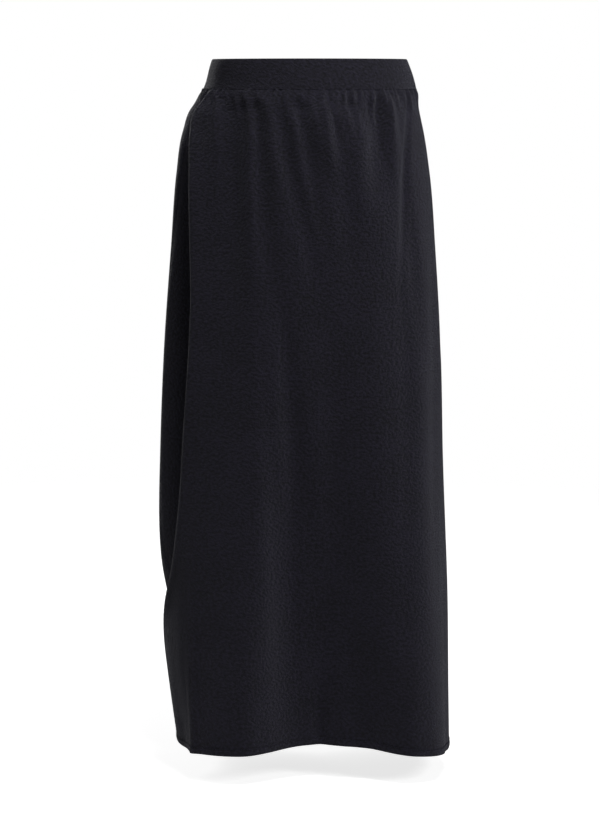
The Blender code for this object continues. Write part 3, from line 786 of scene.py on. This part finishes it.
# The hem welt under each panel. It is a narrow tubular edge knitted double, so it is a little thicker
# than the cloth and shows the knit's face on both sides, and its top is linked to the panel.
HEM_WALL = 0.0024
HEM_BULGE = 0.0006
HEM_LEVELS = 9
HEM_FACE = Knit(0.0017, 0.0012, 0.0, 0.00035)
HEM_INSIDE = Knit(0.0017, 0.0012, 0.0, 0.00030)
hem_face = knit_material("hem_knit_face", YARN, HEM_FACE)
hem_inside = knit_material("hem_knit_reverse", YARN, HEM_INSIDE)
hems = {}
for name, node, cloth in (
    ("front_welt", "hem_front", "front_cloth"),
    ("back_welt", "hem_back", "back_cloth"),
):
    places = panel_places[cloth]
    lift = hem_lift(places)
    rows = []
    for share in np.linspace(0, 1, HEM_LEVELS):
        drop = SKIRT_LENGTH - HEM_HEIGHT * (1 - share)
        swell = math.sin(math.pi * share)
        wall = CLOTH_WALL + (HEM_WALL - CLOTH_WALL) * swell**0.5
        proud = (wall - CLOTH_WALL) / 2 + HEM_BULGE * swell
        rows.append(cloth_row(drop, places, proud, wall, lift))
    hems[name] = walled_mesh(name, rows, False, (hem_face, hem_inside))
    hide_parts(node)
    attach(hems[name], "root")

# The waistband. A doubled tube of the same yarn, knitted finer and closer, that is folded over an
# elastic, so it is smooth and a little round in its height, with softly rounded edges.
BAND_WALL = 0.0030
BAND_BULGE = 0.0012
BAND_ROUNDING = 0.0006
BAND_EDGE_REACH = 0.0015
BAND_COLUMNS = 480
BAND_LEVELS = 25
# The band's colour is a little darker than the panels' yarn: its own colour with painted shadow added,
# as of a top worn over the band.
BAND_YARN_WITH_PAINTED_SHADOW = (0.0100, 0.0088, 0.0166)
BAND_FACE = Knit(0.0013, 0.0010, 0.0, 0.00022)
band_face = knit_material("band_knit_face", BAND_YARN_WITH_PAINTED_SHADOW, BAND_FACE)


def band_ring(share, places):
    """The band's plan, outward directions, how proud it is and its wall, at a share of its height."""
    drop = -BAND_HEIGHT * (1 - share)
    x, y, along = plain_ring(drop)
    distance = np.interp(places, [0, 1, 2], [0, along[SIDE_SEAM], along[-1]])
    plan = np.stack([np.interp(distance, along, x), np.interp(distance, along, y)], axis=1)
    outward = plan / np.linalg.norm(plan, axis=1, keepdims=True)
    from_edge = min(share, 1 - share) * BAND_HEIGHT
    near_edge = 1 - min(from_edge / BAND_EDGE_REACH, 1)
    round_off = BAND_ROUNDING * (1 - math.sqrt(1 - near_edge**2))
    proud = BAND_BULGE * math.sin(math.pi * share) - round_off
    return plan, outward, proud, BAND_WALL - 2 * round_off


band_places = np.linspace(0, 2, BAND_COLUMNS, endpoint=False)
band_rows = []
for share in np.linspace(0, 1, BAND_LEVELS):
    plan, outward, proud, wall = band_ring(share, band_places)
    height = np.full(len(band_places), WAIST_SEAM + BAND_HEIGHT * (1 - share))
    outer = np.column_stack([plan + outward * proud, height])
    inner = np.column_stack([plan + outward * (proud - wall), height])
    band_rows.append((outer, inner))
band = walled_mesh("band_tube", band_rows, True, (band_face, band_face))
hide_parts("waistband")
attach(band, "root")

# The linking. Short chain stitches of the same yarn, worked on a linking machine, join the lower edge
# of the band to the gathered cloth, the panels to each other down both sides, and each welt to its
# panel. Every stitch is a low arch of yarn, and no two are quite alike.
STITCH_SIDES = 5
STITCH_BENDS = 4
STITCH_SEED = 3
STITCH_UNEVENNESS = 0.12
WAIST_LINE_POINTS = 720
WELT_LINE_POINTS = 720
SIDE_LINE_POINTS = 240
WAIST_LINE_SHARE = 0.973
SIDE_LINE_TOP = 0.004
WELT_LINE_ENDS = (0.002, 0.998)
LINE_PROUD = 0.0001
LINKING_YARN = (0.0160, 0.0148, 0.0240)
LINKING_FINISH = {"Roughness": 0.85, "Specular IOR Level": 0.25}
HAIR_SCALE = 2200.0
HAIR_HEIGHT = 0.0002
Linking = namedtuple("Linking", "spacing length rise radius slant")
WAIST_LINKING = Linking(0.0026, 0.0027, 0.0006, 0.00034, 0.16)
SIDE_LINKING = Linking(0.0030, 0.0020, 0.0005, 0.00030, 1.25)
WELT_LINKING = Linking(0.0028, 0.0026, 0.0005, 0.00030, 0.50)


def linking_group():
    """Geometry nodes that set one arch of yarn after another along a seam line."""
    tree = bpy.data.node_groups.new("linking_stitches", "GeometryNodeTree")
    sockets = tree.interface
    sockets.new_socket("Seam Line", in_out="INPUT", socket_type="NodeSocketGeometry")
    for label in ("Spacing", "Stitch Length", "Stitch Rise", "Yarn Radius", "Slant", "Unevenness"):
        sockets.new_socket(label, in_out="INPUT", socket_type="NodeSocketFloat")
    sockets.new_socket("Seed", in_out="INPUT", socket_type="NodeSocketInt")
    sockets.new_socket("Yarn", in_out="INPUT", socket_type="NodeSocketMaterial")
    sockets.new_socket("Stitches", in_out="OUTPUT", socket_type="NodeSocketGeometry")
    entry = tree.nodes.new("NodeGroupInput").outputs
    leave = tree.nodes.new("NodeGroupOutput").inputs

    half = maths(tree, "MULTIPLY", entry["Stitch Length"], 0.5)
    start = linked(tree, "ShaderNodeCombineXYZ", {"X": maths(tree, "MULTIPLY", half, -1.0)})
    end = linked(tree, "ShaderNodeCombineXYZ", {"X": half})
    arch_top = maths(tree, "MULTIPLY", entry["Stitch Rise"], 2.0)
    top = linked(tree, "ShaderNodeCombineXYZ", {"Z": arch_top})
    arch = linked(
        tree,
        "GeometryNodeCurveQuadraticBezier",
        {
            "Resolution": STITCH_BENDS,
            "Start": start.outputs[0],
            "Middle": top.outputs[0],
            "End": end.outputs[0],
        },
    )
    section = linked(
        tree,
        "GeometryNodeCurvePrimitiveCircle",
        {"Resolution": STITCH_SIDES, "Radius": entry["Yarn Radius"]},
    )
    stitch = linked(
        tree,
        "GeometryNodeCurveToMesh",
        {
            "Curve": arch.outputs["Curve"],
            "Profile Curve": section.outputs["Curve"],
            "Fill Caps": True,
        },
    )

    line = linked(tree, "GeometryNodeMeshToCurve", {"Mesh": entry["Seam Line"]})
    spaced = linked(
        tree,
        "GeometryNodeResampleCurve",
        {"Curve": line.outputs["Curve"], "Length": entry["Spacing"]},
        mode="LENGTH",
    )
    outward = linked(
        tree,
        "GeometryNodeInputNamedAttribute",
        {"Name": "outward"},
        data_type="FLOAT_VECTOR",
    )
    tangent = linked(tree, "GeometryNodeInputTangent")
    facing = linked(
        tree,
        "FunctionNodeAlignRotationToVector",
        {"Vector": outward.outputs["Attribute"]},
        axis="Z",
    )
    along = linked(
        tree,
        "FunctionNodeAlignRotationToVector",
        {"Rotation": facing.outputs[0], "Vector": tangent.outputs[0]},
        axis="X",
        pivot_axis="Z",
    )
    least = maths(tree, "SUBTRACT", entry["Slant"], entry["Unevenness"])
    most = maths(tree, "ADD", entry["Slant"], entry["Unevenness"])
    turn = linked(
        tree,
        "FunctionNodeRandomValue",
        {"Min": least, "Max": most, "Seed": entry["Seed"]},
        data_type="FLOAT",
    )
    twist = linked(
        tree,
        "FunctionNodeAxisAngleToRotation",
        {"Axis": (0.0, 0.0, 1.0), "Angle": turn.outputs["Value"]},
    )
    slanted = linked(
        tree,
        "FunctionNodeRotateRotation",
        {"Rotation": along.outputs[0], "Rotate By": twist.outputs[0]},
        rotation_space="LOCAL",
    )
    smallest = maths(tree, "SUBTRACT", 1.0, entry["Unevenness"])
    largest = maths(tree, "ADD", 1.0, entry["Unevenness"])
    size = linked(
        tree,
        "FunctionNodeRandomValue",
        {"Min": smallest, "Max": largest, "Seed": maths(tree, "ADD", entry["Seed"], 1.0)},
        data_type="FLOAT",
    )
    placed = linked(
        tree,
        "GeometryNodeInstanceOnPoints",
        {
            "Points": spaced.outputs["Curve"],
            "Instance": stitch.outputs["Mesh"],
            "Rotation": slanted.outputs[0],
            "Scale": size.outputs["Value"],
        },
    )
    real = linked(
        tree,
        "GeometryNodeRealizeInstances",
        {"Geometry": placed.outputs["Instances"]},
    )
    dyed = linked(
        tree,
        "GeometryNodeSetMaterial",
        {"Geometry": real.outputs["Geometry"], "Material": entry["Yarn"]},
    )
    tree.links.new(dyed.outputs["Geometry"], leave["Stitches"])
    return tree


def linking_material():
    """The stitches' yarn: the same black wool and viscose, matt and slightly hairy."""
    material = bpy.data.materials.new("linking_yarn")
    material.use_nodes = True
    tree = material.node_tree
    shader = tree.nodes["Principled BSDF"]
    place = linked(tree, "ShaderNodeTexCoord").outputs["Object"]
    hairs = linked(
        tree,
        "ShaderNodeTexNoise",
        {"Vector": place, "Scale": HAIR_SCALE, "Detail": 2.0},
    )
    relief = linked(
        tree,
        "ShaderNodeBump",
        {"Height": hairs.outputs[0], "Distance": HAIR_HEIGHT},
    )
    tree.links.new(relief.outputs["Normal"], shader.inputs["Normal"])
    shader.inputs["Base Color"].default_value = (*LINKING_YARN, 1)
    for socket, value in LINKING_FINISH.items():
        shader.inputs[socket].default_value = value
    return material


linking_nodes = linking_group()
linking_yarn = linking_material()


def linking(name, lines, stitch):
    """Stitches along seam lines, each given as its points and their outward directions."""
    points = np.concatenate([line[0] for line in lines])
    outward = np.concatenate([line[1] for line in lines])
    edges = []
    for line in lines:
        start = edges[-1][1] + 1 if edges else 0
        edges += [(start + step, start + step + 1) for step in range(len(line[0]) - 1)]
    mesh = bpy.data.meshes.new(name)
    mesh.from_pydata(points.tolist(), edges, [])
    layer = mesh.attributes.new("outward", "FLOAT_VECTOR", "POINT")
    layer.data.foreach_set("vector", outward.astype(np.float32).ravel())
    made = bpy.data.objects.new(name, mesh)
    bpy.context.scene.collection.objects.link(made)
    modifier = made.modifiers.new("stitches", "NODES")
    modifier.node_group = linking_nodes
    values = {
        "Spacing": stitch.spacing,
        "Stitch Length": stitch.length,
        "Stitch Rise": stitch.rise,
        "Yarn Radius": stitch.radius,
        "Slant": stitch.slant,
        "Unevenness": STITCH_UNEVENNESS,
        "Seed": STITCH_SEED,
        "Yarn": linking_yarn,
    }
    for item in linking_nodes.interface.items_tree:
        if item.in_out == "INPUT" and item.name in values:
            modifier[item.identifier] = values[item.name]
    graph = bpy.context.evaluated_depsgraph_get()
    plain = bpy.data.meshes.new_from_object(made.evaluated_get(graph), depsgraph=graph)
    made.modifiers.remove(modifier)
    made.data = plain
    plain.shade_smooth()
    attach(made, "root")


around = np.linspace(0, 2, WAIST_LINE_POINTS)
plan, outward, proud = band_ring(WAIST_LINE_SHARE, around)[:3]
height = np.full(len(around), WAIST_SEAM + BAND_HEIGHT * (1 - WAIST_LINE_SHARE))
waist_points = np.column_stack([plan + outward * proud, height])
waist_outward = np.column_stack([outward, np.zeros(len(around))])
linking("waist_linking", [(waist_points, waist_outward)], WAIST_LINKING)

seam_places = [0.0, 1.0]
seam_lift = hem_lift(seam_places)
side_points = []
side_outward = []
for drop in np.linspace(SIDE_LINE_TOP, panel_foot, SIDE_LINE_POINTS):
    outer, inner = cloth_row(drop, seam_places, LINE_PROUD - SIDE_GROOVE, CLOTH_WALL, seam_lift)
    side_points.append(outer)
    side_outward.append((outer - inner) / CLOTH_WALL)
side_points = np.array(side_points)
side_outward = np.array(side_outward)
side_lines = [(side_points[:, side], side_outward[:, side]) for side in (0, 1)]
linking("side_linking", side_lines, SIDE_LINKING)

welt_lines = []
for side in (0, 1):
    places = side + np.linspace(*WELT_LINE_ENDS, WELT_LINE_POINTS)
    lift = hem_lift(places)
    outer, inner = cloth_row(SKIRT_LENGTH - HEM_HEIGHT, places, LINE_PROUD, CLOTH_WALL, lift)
    welt_lines.append((outer, (outer - inner) / CLOTH_WALL))
linking("welt_linking", welt_lines, WELT_LINKING)

# The studio: a white floor a few centimetres under the hem, that fades into a white surround, one
# large soft lamp at the front right, one above the front, and one behind the left edge.
FLOOR_HEIGHT = -1.03
FLOOR_RADIUS = 3.2
FLOOR_SOLID_REACH = 1.0
FLOOR_SIDES = 128
FLOOR_COLOUR = (0.86, 0.86, 0.86, 1)
FLOOR_ROUGHNESS = 0.7
FLOOR_GLOW = 0.78
WHITE = (1, 1, 1, 1)
SURROUND_LIGHT = (0.97, 0.98, 1, 1)
SURROUND_STRENGTH = 0.03
Lamp = namedtuple("Lamp", "name place aim size_x size_y power")
LAMPS = (
    Lamp("key_lamp", (2.2, -2.2, 1.1), (0.0, 0.0, -0.1), 0.9, 1.1, 47),
    Lamp("high_lamp", (0.4, -1.1, 1.8), (0.0, 0.0, -0.1), 0.8, 0.8, 37),
    Lamp("edge_lamp", (-2.0, 3.46, 0.7), (0.0, 0.0, -0.45), 1.1, 1.4, 74),
)
bpy.ops.mesh.primitive_circle_add(vertices=FLOOR_SIDES, radius=FLOOR_RADIUS, fill_type="NGON")
floor = bpy.context.object
floor.name = "studio_floor"
floor.location.z = FLOOR_HEIGHT
floor_white = bpy.data.materials.new("floor_white")
floor_white.use_nodes = True
tree = floor_white.node_tree
shader = tree.nodes["Principled BSDF"]
shader.inputs["Base Color"].default_value = FLOOR_COLOUR
shader.inputs["Roughness"].default_value = FLOOR_ROUGHNESS
centre = linked(tree, "ShaderNodeTexCoord").outputs["Object"]
away = linked(tree, "ShaderNodeVectorMath", {0: centre}, operation="LENGTH").outputs["Value"]
fade = linked(
    tree,
    "ShaderNodeMapRange",
    {
        "Value": away,
        "From Min": FLOOR_SOLID_REACH,
        "From Max": FLOOR_RADIUS,
        "To Min": 1.0,
        "To Max": 0.0,
    },
    interpolation_type="SMOOTHSTEP",
)
tree.links.new(fade.outputs["Result"], shader.inputs["Alpha"])
seen_lit = linked(tree, "ShaderNodeLightPath").outputs["Is Camera Ray"]
shader.inputs["Emission Color"].default_value = WHITE
tree.links.new(maths(tree, "MULTIPLY", seen_lit, FLOOR_GLOW), shader.inputs["Emission Strength"])
floor.data.materials.append(floor_white)

surround = bpy.data.worlds.new("white_surround")
surround.use_nodes = True
bpy.context.scene.world = surround
tree = surround.node_tree
seen = linked(tree, "ShaderNodeBackground", {"Color": WHITE, "Strength": 1.0})
felt = linked(
    tree,
    "ShaderNodeBackground",
    {"Color": SURROUND_LIGHT, "Strength": SURROUND_STRENGTH},
)
ray = linked(tree, "ShaderNodeLightPath")
mix = linked(tree, "ShaderNodeMixShader", {0: ray.outputs["Is Camera Ray"]})
tree.links.new(felt.outputs[0], mix.inputs[1])
tree.links.new(seen.outputs[0], mix.inputs[2])
tree.links.new(mix.outputs[0], tree.nodes["World Output"].inputs["Surface"])


def turned_to(place, aim):
    """The turn that points a lamp at its aim."""
    return (Vector(aim) - Vector(place)).to_track_quat("-Z", "Y").to_euler()


for lamp in LAMPS:
    light = bpy.data.lights.new(lamp.name, "AREA")
    light.shape = "RECTANGLE"
    light.size = lamp.size_x
    light.size_y = lamp.size_y
    light.energy = lamp.power
    held = bpy.data.objects.new(lamp.name, light)
    held.location = lamp.place
    held.rotation_euler = turned_to(lamp.place, lamp.aim)
    held.visible_camera = False
    bpy.context.scene.collection.objects.link(held)

# The camera stands level with the waist seam, a little over four metres away, and looks slightly down.
# The focal length and the turn are worked out from pixels of a frame 815 high.
CAMERA_PLACE = (-0.014, -4.2, -0.0225)
FOCAL_PIXELS = 2839
FRAME_TALL = 815
LOOK_DOWN_PIXELS = 317.5
SENSOR_LONG_SIDE = 36
LOOK_DOWN = math.atan(LOOK_DOWN_PIXELS / FOCAL_PIXELS)
view = bpy.data.cameras.new("camera")
view.sensor_width = SENSOR_LONG_SIDE
view.lens = FOCAL_PIXELS / FRAME_TALL * SENSOR_LONG_SIDE
camera = bpy.data.objects.new("camera", view)
camera.location = CAMERA_PLACE
camera.rotation_euler = (math.pi / 2 - LOOK_DOWN, 0, 0)
bpy.context.scene.collection.objects.link(camera)
bpy.context.scene.camera = camera
bpy.context.scene.view_settings.view_transform = "Standard"
